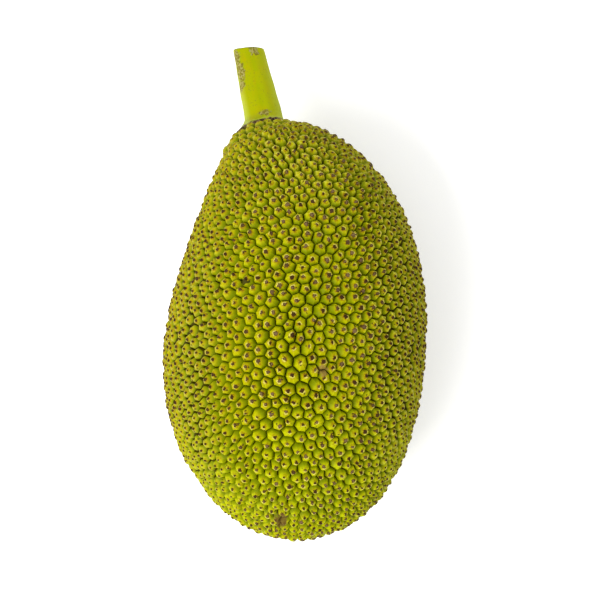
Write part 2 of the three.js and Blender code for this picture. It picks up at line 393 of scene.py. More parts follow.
# %% Thin, shake and push apart
SPIRAL_JITTER = 0.4
CALMEST = 0.4  # how much of the jitter is left away from the belly
SHAKEN_WIDTH = 0.5
THINNING_SEED = 11
SIZE_SPREAD = 0.1
SIZE_SEED = 5
PUSH_ROUNDS = 10
PUSH_RATE = 0.25
PUSH_REACH = 1.2
SEARCH_MARGIN = 1.2


def thinned(directions, rind_area):
    """Drops directions at random until each place has as many as its spacing allows."""
    draw = random.Random(THINNING_SEED)
    kept = []
    sown_area = rind_area / len(directions)
    for direction in directions:
        wanted_area = spacing_at(direction) ** 2 * math.sqrt(3) / 2
        if draw.random() < sown_area / wanted_area:
            shaken = CALMEST + (1 - CALMEST) * belly_share(direction, SHAKEN_WIDTH)
            jitter = SPIRAL_JITTER * SPACING * shaken
            upset = jitter * Vector(draw.uniform(-1, 1) for _ in range(3))
            kept.append(ball_space(tip_point(direction) + upset).normalized())
    return kept


def pushed_apart(directions):
    """Lets close neighbours push each other away, round after round."""
    draw = random.Random(SIZE_SEED)
    sizes = [1 + draw.uniform(-SIZE_SPREAD, SIZE_SPREAD) for _ in directions]
    for _ in range(PUSH_ROUNDS):
        points = [tip_point(direction) for direction in directions]
        spacings = [size * spacing_at(direction) for size, direction in zip(sizes, directions)]
        tree = kdtree.KDTree(len(points))
        for i, point in enumerate(points):
            tree.insert(point, i)
        tree.balance()
        moved = []
        for i, point in enumerate(points):
            push = Vector()
            searched = PUSH_REACH * SEARCH_MARGIN * spacings[i]
            for other, j, distance in tree.find_range(point, searched):
                reach = PUSH_REACH * (spacings[i] + spacings[j]) / 2
                if 0 < distance < reach:
                    push += (point - other) * ((reach - distance) / distance)
            moved.append(clear_of_collar(ball_space(point + PUSH_RATE * push).normalized()))
        directions = moved
    return directions


seeds = pushed_apart(thinned(spiral, rind_area))
print(len(seeds), "tubercles")

# %% [markdown]
# ## Cells of the rind
# Each tubercle fills the ground that is nearer to it than to its neighbours, so the valleys between
# them make a net of cells. Such a net is the dual of a net of triangles, and a convex hull of the
# seeds makes those. On a long fruit the hull would join the wrong neighbours, so the seeds first
# move along the ball to where small circles on the fruit stay circles.

# %% Move the seeds for the hull
STRETCH_STEPS = 4000
POLE = 1 - 1e-6  # how near the ends the stretch is worked out


def rounded_directions(directions):
    """Directions moved along the ball, so that small circles on the fruit are circles on it."""
    places = [-math.cos(math.pi * i / STRETCH_STEPS) * POLE for i in range(STRETCH_STEPS + 1)]

    def radius(s):
        return FRUIT_WIDTH / 2 * fullness(s) * math.sqrt(1 - s * s)

    stretch = [0]
    for low, high in zip(places, places[1:]):
        slant = math.hypot(radius(high) - radius(low), FRUIT_LENGTH / 2 * (high - low))
        stretch.append(stretch[-1] + slant / radius((low + high) / 2))
    centre = stretch[STRETCH_STEPS // 2]
    rounded = []
    for direction in directions:
        s = max(-POLE, min(POLE, direction.y))
        at = math.acos(-s / POLE) / math.pi * STRETCH_STEPS
        low = min(int(at), STRETCH_STEPS - 1)
        reach = stretch[low] + (stretch[low + 1] - stretch[low]) * (at - low) - centre
        ring = 1 / math.cosh(reach)
        angle = math.atan2(direction.z, direction.x)
        rounded.append(Vector((ring * math.cos(angle), math.tanh(reach), ring * math.sin(angle))))
    return rounded


rounded = rounded_directions(seeds)
print("a seed at s =", round(seeds[0].y, 3), "moves to", round(rounded[0].y, 3))

# %% [markdown]
# Poking every triangle puts a corner in it, rotating the old edges joins corner to corner, and
# dissolving the seeds leaves the cells. Then each corner moves to the bottom of its valley.


# %% Turn the seeds into cells
def cell_net(directions, rounded):
    """A mesh of cells. Each face holds the number of its seed in the layer that is returned too."""
    mesh = bmesh.new()
    number = mesh.faces.layers.int.new("number")
    points = [tip_point(direction) for direction in directions]
    seeds = [mesh.verts.new(place) for place in rounded]
    seed_number = {vert: i for i, vert in enumerate(seeds)}
    bmesh.ops.convex_hull(mesh, input=seeds)
    old_edges = mesh.edges[:]
    corners = bmesh.ops.poke(mesh, faces=mesh.faces[:])["verts"]
    places = {}
    for corner in corners:
        around = [points[seed_number[edge.other_vert(corner)]] for edge in corner.link_edges]
        direction = ball_space(sum(around, Vector()) / len(around)).normalized()
        places[corner] = risen(tip_point(direction)) - VALLEY_DEPTH * normal_at(direction)
    bmesh.ops.rotate_edges(mesh, edges=old_edges)
    for seed, i in seed_number.items():
        for face in seed.link_faces:
            face[number] = i
    bmesh.ops.dissolve_verts(mesh, verts=seeds)
    for corner, place in places.items():
        corner.co = place
    bmesh.ops.recalc_face_normals(mesh, faces=mesh.faces[:])
    return mesh, number


rind_mesh, number_layer = cell_net(seeds, rounded)
sides = [len(face.verts) for face in rind_mesh.faces]
print(len(rind_mesh.faces), "cells with", min(sides), "to", max(sides), "sides")

# %% [markdown]
# ## Raising the tubercles
# Every cell is extruded on its own, ring after ring, and each new ring is drawn in towards the tip.
# Copies of one tubercle would be quicker, but they wouldn't fit cells that all differ. The sides
# rise steeply from narrow valleys, then the crown slopes up to the small hard scar that the flower
# left. On the belly the tubercles are broad. Where the rind slopes they are more peaked, lean
# downhill and fall away in a long slope on the uphill side, like scales.

# %% Rings of a tubercle
BROAD_RINGS = (  # share of the way out from the tip, height share, roundness
    (0.985, 0.32, 0.0),
    (0.95, 0.62, 0.0),
    (0.76, 0.87, 0.0),
    (0.42, 0.97, 0.05),
    (0.21, 1.0, 0.3),
)
PEAKED_RINGS = (
    (0.985, 0.26, 0.0),
    (0.95, 0.54, 0.0),
    (0.78, 0.82, 0.0),
    (0.42, 0.96, 0.05),
    (0.21, 1.0, 0.3),
)
print(len(BROAD_RINGS), "rings for each tubercle")

# %% [markdown]
# One class holds what is a tubercle's own: its tip, how far it is peaked and leans, and a lot of
# random numbers. Heights, tips and scars differ a little from one to the next.

# %% One tubercle
PEAKED_SLOPES = (0.2, 0.65)  # slopes of the rind where they start to be peaked and fully are
BROADER_REACH = (0.06, 0.01)  # distances from the collar where they get broader again
COLLAR_BROADER = 0.6
LEAST_LOWERED = 0.05
HEIGHT_SPREAD = 0.2
TIP_DRIFT = 0.0014
LEAN = 0.0058
LEAN_POWER = 0.7
LEAN_AT_ENDS = 0.65
LEAN_HEIGHTS = (-0.5, 0.1)  # those on the underside don't lean
UPHILL_SLOPE = 0.7
SCAR_SIZES = (0.4, 1)
SCAR_REACH = (0.006, 0.035)  # the scars are smaller near the collar
SLOPE_SCAR = 0.1
PEAKED_SHALLOWER = 0.3
NEARLY_DOWN = Vector((0.001, 0, -1))  # not quite, so that level places have a downhill too


class Tubercle:
    """One cell's own measures."""

    def __init__(self, direction, corners, draw):
        self.normal = normal_at(direction)
        self.corners = corners
        downhill = NEARLY_DOWN - NEARLY_DOWN.dot(self.normal) * self.normal
        self.side = downhill.normalized()
        self.other = self.normal.cross(self.side)
        tip = risen(tip_point(direction))
        by_collar = collar_distance(tip)
        slope = math.hypot(self.normal.x, self.normal.y)
        scar = draw.uniform(*SCAR_SIZES) * ease(by_collar, *SCAR_REACH)
        scar *= 1 + SLOPE_SCAR * slope
        self.lot = Vector((draw.random(), draw.random(), scar))
        drift = TIP_DRIFT * math.sqrt(draw.random())
        turn = draw.uniform(0, math.tau)
        middle = sum(corners, Vector()) / len(corners)
        foot = middle + drift * (math.cos(turn) * self.side + math.sin(turn) * self.other)
        lowered = VALLEY_DEPTH * (LEAST_LOWERED + HEIGHT_SPREAD * draw.random())
        self.foot = foot
        self.rise = Vector()
        broader = COLLAR_BROADER * ease(by_collar, *BROADER_REACH)
        self.peaked = ease(slope, *PEAKED_SLOPES) * (1 - broader)
        if by_collar > 0:
            lift = (tip - foot).dot(self.normal) - lowered
            lean = LEAN * math.hypot(self.normal.x, LEAN_AT_ENDS * self.normal.y) ** LEAN_POWER
            lean *= ease(self.normal.z, *LEAN_HEIGHTS)
            self.rise = lift * self.normal + lean * self.side
        self.tip = foot + self.rise
        spokes = [corner - foot for corner in corners]
        self.spokes = [spoke - spoke.dot(self.normal) * self.normal for spoke in spokes]
        self.radius = sum(spoke.length for spoke in self.spokes) / len(corners)

    def ring_points(self, ring):
        """The points of one ring, broad on the belly and peaked where the rind slopes."""
        share, height, roundness = (
            broad + self.peaked * (peaked - broad)
            for broad, peaked in zip(BROAD_RINGS[ring], PEAKED_RINGS[ring])
        )
        for corner, spoke in zip(self.corners, self.spokes):
            even = spoke * (self.radius / spoke.length)
            out = share * (spoke + roundness * (even - spoke))
            uphill = max(0, -spoke.dot(self.side) / self.radius)
            up = height * (1 - UPHILL_SLOPE * self.peaked * share * uphill)
            base = (1 - up) * (corner - self.foot).dot(self.normal)
            yield self.foot + out + base * self.normal + up * self.rise

    def local(self, point):
        """For the material: millimetres from the tip downhill and across, and height share.

        The long uphill slope counts as high as the other sides, or it would look like a valley.
        """
        offset = point - self.tip
        share = 1 + offset.dot(self.normal) / (VALLEY_DEPTH * (1 - PEAKED_SHALLOWER * self.peaked))
        out = (point - self.foot).dot(self.side) - share * self.rise.dot(self.side)
        uphill = max(0, min(1, -out / self.radius))
        share /= 1 - UPHILL_SLOPE * self.peaked * uphill
        down, across = offset.dot(self.side), offset.dot(self.other)
        return Vector((MILLIMETRES * down, MILLIMETRES * across, share))


tallest = MILLIMETRES * VALLEY_DEPTH * (1 - LEAST_LOWERED)
print("the tallest tubercles stand about", round(tallest, 1), "mm above their valleys")

# %% Raise each cell ring by ring
TUBERCLE_SEED = 7


def raise_tubercles(mesh, number, directions):
    """Extrudes every cell ring by ring. The ridges between its sides stay sharp."""
    draw = random.Random(TUBERCLE_SEED)
    tubercles = {}
    for face in sorted(mesh.faces, key=lambda face: face[number]):
        corners = [vert.co.copy() for vert in face.verts]
        tubercles[face[number]] = Tubercle(directions[face[number]], corners, draw)
    tops = mesh.faces[:]
    for ring in range(len(BROAD_RINGS)):
        tops = bmesh.ops.extrude_discrete_faces(mesh, faces=tops)["faces"]
        for face in tops:
            around = set(face.edges)
            for vert, place in zip(face.verts, tubercles[face[number]].ring_points(ring)):
                vert.co = place
                for edge in set(vert.link_edges) - around:
                    edge.smooth = False
    return tubercles


tubercles = raise_tubercles(rind_mesh, number_layer, seeds)
print(len(rind_mesh.faces), "faces in the rind")

# %% [markdown]
# The material needs to know where it is on each tubercle. Attributes on the face corners say so.
# `place` has the distance from the tip in millimetres, downhill and across, and the height share.
# `lot` has two random numbers for the cell and the size of its scar. `facet` runs from -1 at one
# ridge of a side to 1 at the next.


# %% Write the attributes
def write_attributes(mesh, number, tubercles):
    """Gives each face corner its place on the tubercle and the tubercle's lot."""
    place = mesh.loops.layers.float_vector.new("place")
    lot = mesh.loops.layers.float_vector.new("lot")
    facet = mesh.loops.layers.float.new("facet")
    for face in mesh.faces:
        tubercle = tubercles[face[number]]
        for loop in face.loops:
            loop[place] = tubercle.local(loop.vert.co)
            loop[lot] = tubercle.lot
        first = next((loop for loop in face.loops if not loop.edge.smooth), None)
        if first:
            ridge = (first, first.link_loop_next)
            for loop in face.loops:
                loop[facet] = -1 if loop in ridge else 1


write_attributes(rind_mesh, number_layer, tubercles)
layers = rind_mesh.loops.layers
print("attributes:", layers.float_vector.keys() + layers.float.keys())

# %% [markdown]
# The rind was made level, round its own middle. Now it is turned and moved to where it lies, and
# what would sink into the floor is pressed flat.


# %% Lay the rind down
def finish_mesh(mesh, name):
    """Makes a smooth-shaded object of a bmesh, at the origin, and says its size."""
    for face in mesh.faces:
        face.smooth = True
    data = bpy.data.meshes.new(name)
    mesh.to_mesh(data)
    mesh.free()
    made = bpy.data.objects.new(name, data)
    bpy.context.scene.collection.objects.link(made)
    data.calc_loop_triangles()
    print(name, "has", len(data.loop_triangles), "triangles")
    return made


bmesh.ops.transform(rind_mesh, matrix=lie, verts=rind_mesh.verts[:])
for vert in rind_mesh.verts:
    vert.co.z = max(vert.co.z, 0)
rind = finish_mesh(rind_mesh, "rind_skin")

# %% [markdown]
# ## The stalk
# The stalk is the thick green stem that hung the fruit from the trunk. It is drawn as rings round
# its axis, from the middle of the cut end down the shaft and out over the collar, where it drapes
# on the rind, and then in to the root. A spin would make all its sides alike, but the ribs and the
# draped collar change round it, so each side has a profile of its own.

# %% The stalk's profile
CUT_RINGS = (0.25, 0.5, 0.75, 0.93)
RIM_STEPS = 4
RIM_RADIUS = 0.0018
SHAFT_RINGS = 30
COLLAR_RINGS = 14
COLLAR_FLARE = 1.7
LIP_ROUNDING = (0.0004, 0.0012)  # in and down
UNDER_LIP = 1.2  # lip shares past the lip's edge
ROOT = 1.5
RIB_COUNT = 5
RIB_DEPTH = 0.00035
RIB_TURN = 0.6


def shaft_radius(share, angle):
    """Radius of the shaft with its shallow ribs, from share 0 at the cut end to 1 at the collar."""
    plain = STALK_TOP_RADIUS + (STALK_BASE_RADIUS - STALK_TOP_RADIUS) * share
    return plain + RIB_DEPTH * math.cos(RIB_COUNT * angle + RIB_TURN)


def stalk_profile(angle):
    """Radius, height and lip share of each ring at an angle, from the cut end to the root."""
    rim = shaft_radius(0, angle) - RIM_RADIUS
    profile = [(share * rim, STALK_LENGTH, 0) for share in CUT_RINGS]
    for step in range(RIM_STEPS + 1):
        turn = step / RIM_STEPS * math.pi / 2
        down = RIM_RADIUS * (1 - math.cos(turn))
        profile.append((rim + RIM_RADIUS * math.sin(turn), STALK_LENGTH - down, 0))
    shaft_top = STALK_LENGTH - RIM_RADIUS
    for step in range(1, SHAFT_RINGS + 1):
        share = step / SHAFT_RINGS
        height = shaft_top + (COLLAR_RISE - shaft_top) * share
        profile.append((shaft_radius(share, angle), height, 0))
    lip = lip_height(angle)
    reach = collar_reach(angle)
    neck = shaft_radius(1, angle)
    for step in range(1, COLLAR_RINGS + 1):
        share = step / COLLAR_RINGS
        out = neck + (reach - neck) * share**COLLAR_FLARE
        profile.append((out, COLLAR_RISE + (lip - COLLAR_RISE) * share, share))
    inward, down = LIP_ROUNDING
    profile.append((reach - inward, lip - down, UNDER_LIP))
    profile.append((reach - 2 * inward, rind_under(angle), ROOT))
    profile.append((ROOT_RADIUS, -ROOT_DEPTH, ROOT))
    return profile


print("the stalk has", len(stalk_profile(0)), "rings")

# %% [markdown]
# Extruding the last ring and placing the new one keeps the skin whole. Each point keeps its place
# in the stalk's frame as `grain`, and its lip share, which says how far out on the collar it is.
# The new parts come in no fixed order, so they are sorted, and the mesh is the same each run. The
# skin then sinks in a little here and there, so that it isn't machine smooth.

# %% Draw the stalk ring by ring
STALK_SIDES = 96
SKIN_SWELL = 0.0004
SKIN_SWELL_SIZE = 0.014


def sort_parts(mesh, verts):
    """Puts the parts of a mesh in the order of a list of all its vertices."""
    order = {vert: place for place, vert in enumerate(verts)}

    def place_of(part):
        places = [order[vert] for vert in part.verts]
        return min(places) * len(verts) + max(places)

    mesh.verts.sort(key=order.get)
    mesh.edges.sort(key=place_of)
    mesh.faces.sort(key=place_of)


def draw_stalk():
    """The whole skin of the stalk, in the fruit's own space."""
    mesh = bmesh.new()
    grain = mesh.verts.layers.float_vector.new("grain")
    lip = mesh.verts.layers.float.new("lip")
    ring = bmesh.ops.create_circle(mesh, segments=STALK_SIDES, radius=1, cap_ends=True)["verts"]
    profiles = [stalk_profile(math.atan2(vert.co.y, vert.co.x)) for vert in ring]
    ways = [vert.co.normalized() for vert in ring]
    edges = mesh.edges[:]
    placed = []
    for number in range(len(profiles[0])):
        if number:
            grown = set(bmesh.ops.extrude_edge_only(mesh, edges=edges)["geom"])
            ring = [
                next(end for edge in vert.link_edges for end in edge.verts if end in grown)
                for vert in ring
            ]
            edges = [
                part for part in grown
                if isinstance(part, bmesh.types.BMEdge) and set(part.verts) <= grown
            ]
        for vert, way, profile in zip(ring, ways, profiles):
            radius, height, share = profile[number]
            slant = CUT_SLANT[0] * way.x + CUT_SLANT[1] * way.y
            raised = radius * slant * ease(height, STALK_LENGTH / 2, STALK_LENGTH)
            vert.co = radius * way + Vector((0, 0, height + raised))
            vert[lip] = share
            vert[grain] = vert.co
        placed += ring
    bmesh.ops.contextual_create(mesh, geom=edges)
    sort_parts(mesh, placed)
    bmesh.ops.recalc_face_normals(mesh, faces=mesh.faces[:])
    mesh.normal_update()
    for vert in mesh.verts:
        if vert[lip] < ROOT:
            swell = noise.noise(vert.co / SKIN_SWELL_SIZE)
            vert.co += vert.normal * SKIN_SWELL * (swell - 1)
    bmesh.ops.transform(mesh, matrix=lie @ stalk_frame, verts=mesh.verts[:])
    return mesh


stalk = finish_mesh(draw_stalk(), "stem")

# %% [markdown]
# ## Shader arithmetic
# A material here is a sum of masks: how high on the tubercle, how near the scar, how worn. Writing
# that as expressions is far easier to read than naming each node. `Wire` wraps the output of a
# node, and arithmetic on it adds Math nodes.


# %% Wires
class Wire:
    """The output of a node. Arithmetic on it adds Math nodes."""

    def __init__(self, finish, socket):
        self.finish = finish
        self.socket = socket

    def __add__(self, other):
        return self.finish.math("ADD", self, other)

    def __sub__(self, other):
        return self.finish.math("SUBTRACT", self, other)

    def __rsub__(self, other):
        return self.finish.math("SUBTRACT", other, self)

    def __mul__(self, other):
        return self.finish.math("MULTIPLY", self, other)

    __radd__ = __add__
    __rmul__ = __mul__


print("a wire adds, subtracts and multiplies")

# %% [markdown]
# `Finish` is a material being built. Its one method `node` adds every node but the first two, and
# the others are short names for the nodes that come up often.

# %% Finishes
SHEEN = 0.025


class Finish:
    """A material being built round one Principled BSDF."""

    def __init__(self, name):
        self.material = bpy.data.materials.new(name)
        self.material.use_nodes = True
        self.tree = self.material.node_tree
        self.tree.nodes.clear()
        output = self.tree.nodes.new("ShaderNodeOutputMaterial")
        self.surface = self.tree.nodes.new("ShaderNodeBsdfPrincipled")
        self.tree.links.new(self.surface.outputs[0], output.inputs["Surface"])

    def node(self, kind, settings=None, inputs=None, output=0):
        """Adds a node, sets it up, joins or sets its inputs, and returns one output as a wire."""
        made = self.tree.nodes.new(kind)
        for name, value in (settings or {}).items():
            setattr(made, name, value)
        for name, value in (inputs or {}).items():
            self.join(value, made.inputs[name])
        return Wire(self, made.outputs[output])

    def join(self, value, socket):
        """Links a wire to a socket, or sets the socket's own value."""
        if isinstance(value, Wire):
            self.tree.links.new(value.socket, socket)
        else:
            socket.default_value = value

    def math(self, operation, *values):
        """A Math node."""
        return self.node("ShaderNodeMath", {"operation": operation}, dict(enumerate(values)))

    def vector_math(self, operation, *values, output=0):
        """A Vector Math node."""
        settings = {"operation": operation}
        return self.node("ShaderNodeVectorMath", settings, dict(enumerate(values)), output)

    def attribute(self, name, output="Vector"):
        """An attribute of the mesh."""
        return self.node("ShaderNodeAttribute", {"attribute_name": name}, output=output)

    def part(self, vector, axis):
        """One number of a vector."""
        return self.node("ShaderNodeSeparateXYZ", {}, {0: vector}, axis)

    def step(self, value, low, high):
        """0 below low, 1 above high, smooth between; falling if low is above high."""
        return self.node("ShaderNodeMapRange", {"interpolation_type": "SMOOTHSTEP"}, {
            "Value": value, "From Min": low, "From Max": high})

    def speckle(self, size, vector, detail=2.0, roughness=0.5):
        """Cloudy noise from 0 to 1, in patches of a size in metres."""
        return self.node("ShaderNodeTexNoise", {}, {
            "Vector": vector, "Scale": 1 / size, "Detail": detail, "Roughness": roughness})

    def reach(self, vector, centre, size):
        """How far out a place lies, with 1 on an ellipsoid round a centre."""
        offset = self.vector_math("SUBTRACT", vector, centre)
        scaled = self.vector_math("DIVIDE", offset, size)
        return self.vector_math("LENGTH", scaled, output="Value")

    def mix(self, factor, low, high):
        """One colour where the factor is 0 and another where it is 1."""
        return self.node("ShaderNodeMix", {"data_type": "RGBA"}, {0: factor, 6: low, 7: high}, 2)

    def surface_look(self, colour, roughness, relief, strength, depth):
        """Joins the colour, the roughness and a bump of a strength and a depth in metres."""
        bump = self.node("ShaderNodeBump", {}, {
            "Strength": strength, "Distance": depth, "Height": relief})
        self.join(colour, self.surface.inputs["Base Color"])
        self.join(roughness, self.surface.inputs["Roughness"])
        self.join(bump, self.surface.inputs["Normal"])
        self.surface.inputs["Specular IOR Level"].default_value = SHEEN


print("a finish feeds colour, roughness and bump")

# %% [markdown]
# Colours are chosen as they look on a screen, but light adds up in linear values.


# %% Colours
def colour(red, green, blue):
    """A colour given as on a screen, from 0 to 255, in linear values."""
    linear = [c / 12.92 if c <= 0.04045 else ((c + 0.055) / 1.055) ** 2.4
              for c in (red / 255, green / 255, blue / 255)]
    return (*linear, 1)


print("yellow-green is", [round(c, 3) for c in colour(190, 186, 30)])

# %% [markdown]
# ## The rind's finish
# An image wrapped round the fruit would blur from close by. Masks made from the attributes stay
# sharp, so the finish is built in layers of them. First come the zones of the whole fruit: the
# unripe blossom end, the stalk end, the flanks, the left side, where the key light falls, and all
# below the top. Some colours on the last two are painted light.

# %% Places on the rind
BLOSSOM_END = (-0.02, -0.13)  # where a zone starts and where it is full, in metres
STALK_END = (0.06, 0.15)
FLANKS = (0.04, 0.08)
# the left side, where the key light falls; some colours there have copies of their own, as painted
# light
LIT_SIDE = (-0.01, -0.06)
# below these heights the crowns are painted lighter, as painted light
PAINTED_LIGHT_BELOW_TOP = (0.18, 0.14)
FINE_GRAIN = 0.0012
# the pale rims are wear and painted highlight; their copy on the lit left side is darker
RIM_WEAR_AND_HIGHLIGHT = colour(186, 176, 82)
LIT_SIDE_RIM = colour(154, 144, 66)


class RindPlace:
    """What the layers of the rind's finish know about a place on it."""

    def __init__(self, finish):
        place = finish.attribute("place")
        lot = finish.attribute("lot")
        self.downhill, self.across, self.height = (finish.part(place, axis) for axis in range(3))
        self.tone, self.hue, self.scarred = (finish.part(lot, axis) for axis in range(3))
        self.facet = finish.math("ABSOLUTE", finish.attribute("facet", "Fac"))
        self.where = finish.node("ShaderNodeTexCoord", output="Object")
        x, y, z = (finish.part(self.where, axis) for axis in range(3))
        self.unripe = finish.step(y, *BLOSSOM_END)
        self.by_stalk = finish.step(y, *STALK_END)
        self.side = finish.step(finish.math("ABSOLUTE", x), *FLANKS)
        # the left side, where the key light falls: the copies of colours for it are painted light
        self.lit_side = finish.step(x, *LIT_SIDE)
        # below the top of the fruit the crowns are painted lighter, as painted light
        self.painted_light_below_top = finish.step(z, *PAINTED_LIGHT_BELOW_TOP)
        fine = finish.speckle(FINE_GRAIN, self.where, 3)
        self.rough_height = self.height + 0.1 * (fine - 0.5)
        # the pale rim colour, wear and painted highlight, darker on the lit left side
        self.wear_and_highlight = finish.mix(self.lit_side, RIM_WEAR_AND_HIGHLIGHT, LIT_SIDE_RIM)


rind_finish = Finish("rind")
at = RindPlace(rind_finish)
print(len(rind_finish.tree.nodes), "nodes say where a place on the rind is")

# %% [markdown]
# A ripening tubercle is yellow on its crown and greener down its flanks, with gold flecks. Its
# uphill side is painted darker green, as painted shade, and on the flanks a dark painted shadow
# lies in the gap on that side. Below the top of the fruit the crowns are painted lighter, as
# painted light, so that the top looks duller. On the left, where the key light falls, they take a
# more golden copy of their colour, as painted light. At the blossom end they are greener.

# %% The skin of the tubercles
CROWN = colour(147, 146, 0)
# painted light: the lighter crown colour below the top of the fruit
PAINTED_LIGHT_CROWN = colour(156, 155, 0)
# painted light: the more golden crown colour on the left side, where the key light falls
LIT_SIDE_CROWN = colour(152, 145, 0)
UNRIPE = colour(156, 165, 0)
FLANK = colour(114, 123, 0)
# painted shade: the darker green of the uphill side, also in the valleys by the stalk
SHADE_GREEN = colour(98, 108, 0)
# painted shadow: the dark gaps on the flanks, and the dark of their valleys
GAP_SHADOW = colour(50, 45, 0)
GOLD = colour(122, 94, 4)
CROWN_HEIGHTS = (0.66, 0.96)  # height shares where a mask starts and where it is full
GOLD_HEIGHTS = (0.5, 0.75)
UPHILL_SHADE = (-1.0, -5.0)  # millimetres downhill of the tip
UPHILL_GAP_SHADOW = (-3.2, -6.2)
FLECK_SIZE = 0.003
PATCH_SIZE = 0.045


def rind_skin(finish, at):
    """The yellow crown, the greener sides, gold flecks, and large patches of a duller green."""
    # painted light: the crowns below the top of the fruit are lighter
    crown = finish.mix(at.painted_light_below_top, CROWN, PAINTED_LIGHT_CROWN)
    # painted light: a more golden copy of the crown on the left side, where the key light falls
    crown = finish.mix(at.lit_side, crown, LIT_SIDE_CROWN)
    crown = finish.mix(at.unripe * 0.8, crown, UNRIPE)
    body = finish.mix(finish.step(at.rough_height, *CROWN_HEIGHTS), FLANK, crown)
    flecks = finish.step(finish.speckle(FLECK_SIZE, at.where, 2), 0.45, 0.65)
    body = finish.mix(flecks * finish.step(at.height, *GOLD_HEIGHTS) * 0.25, body, GOLD)
    # painted shade on the uphill side of each tubercle
    body = finish.mix(finish.step(at.downhill, *UPHILL_SHADE) * 0.9, body, SHADE_GREEN)
    # painted shadow in the gap on the uphill side, on the flanks
    body = finish.mix(finish.step(at.downhill, *UPHILL_GAP_SHADOW) * at.side * 0.85, body, GAP_SHADOW)
    patchy = finish.speckle(PATCH_SIZE, at.where, 2) + 0.25 * (at.hue - 0.5)
    return finish.mix(finish.step(patchy, 0.5, 0.8) * 0.3, body, FLANK)


rind_body = rind_skin(rind_finish, at)
print(len(rind_finish.tree.nodes), "nodes with the skin")

# %% [markdown]
# The ridges between a tubercle's sides and the shoulder round its crown are painted pale, as wear
# and as painted highlight. The valleys are painted dark, as painted shade, wider on the flanks and
# by the stalk.

# %% Ridges and valleys
# the pale ridges and shoulder: wear and painted highlight
EDGE = colour(178, 180, 12)
# painted shade: the dark of the valleys, and of the stalk under its lip
VALLEY_SHADE = colour(76, 74, 0)
SHOULDER_HEIGHTS = (0.76, 0.84), (0.92, 0.86)
VALLEY_HEIGHTS = (0.46, 0.32)
PALE_EDGE_SIDE = (-3.0, 1.0)  # millimetres downhill of the tip


def add_ridges(finish, at, body):
    """The pale ridges and the pale shoulder round the crown."""
    ridge = finish.step(at.facet, 0.6 + 0.2 * at.by_stalk, 1.0)
    rise, fall = SHOULDER_HEIGHTS
    shoulder = finish.step(at.height, *rise) * finish.step(at.height, *fall)
    edge = ridge * (0.3 + 0.28 * at.by_stalk + 0.1 * at.side) + shoulder * (0.3 + 0.1 * at.side)
    # the pale ridges and shoulder, wear and painted highlight, on the downhill side
    edge = edge * finish.step(at.downhill + at.by_stalk, *PALE_EDGE_SIDE)
    wear_and_highlight = finish.mix(finish.math("MAXIMUM", at.by_stalk, at.side), EDGE, at.wear_and_highlight)
    return finish.mix(edge, body, wear_and_highlight)


def add_valley_shade(finish, at, body):
    """The dark valleys, which are wider on the flanks and by the stalk."""
    depth = at.rough_height - 0.25 * finish.math("MAXIMUM", at.side, at.by_stalk * 0.6)
    dark = finish.mix(at.by_stalk * 0.15, finish.mix(at.side, VALLEY_SHADE, GAP_SHADOW), SHADE_GREEN)
    # painted shade in the valleys
    return finish.mix(finish.step(depth, *VALLEY_HEIGHTS), body, dark)


rind_body = add_ridges(rind_finish, at, rind_body)
rind_body = add_valley_shade(rind_finish, at, rind_body)
print(len(rind_finish.tree.nodes), "nodes with ridges and valleys")

# %% [markdown]
# Each tip has a ragged dark brown scar in a gold smudge, often with a grey middle, a pale rim that
# is wear and painted highlight, and a few specks. The scars are smaller on the left side, where the
# key light falls, on the flanks and at both ends.

# %% Scars
SCAR = colour(52, 34, 16)
SCAR_MIDDLE = colour(102, 82, 56)
SCAR_HEIGHTS = (0.6, 0.75)
RIM_SIDE = (-0.4, 0.6)  # millimetres downhill of the tip
SMUDGE_EDGE = (1.5, 0.3)  # millimetres outside the scar
RIM_EDGE = (1.0, 0.4)
SCAR_EDGE = (0.2, -0.1)
SPECK_EDGE = (0.15, -0.1)
MIDDLE_EDGE = (-0.25, -0.6)
SCAR_DRIFT = 0.45
LEAST_SCAR = 0.35
SPECK_RADII = (0.8, 0.7)
SCAR_GRAIN = 0.0013


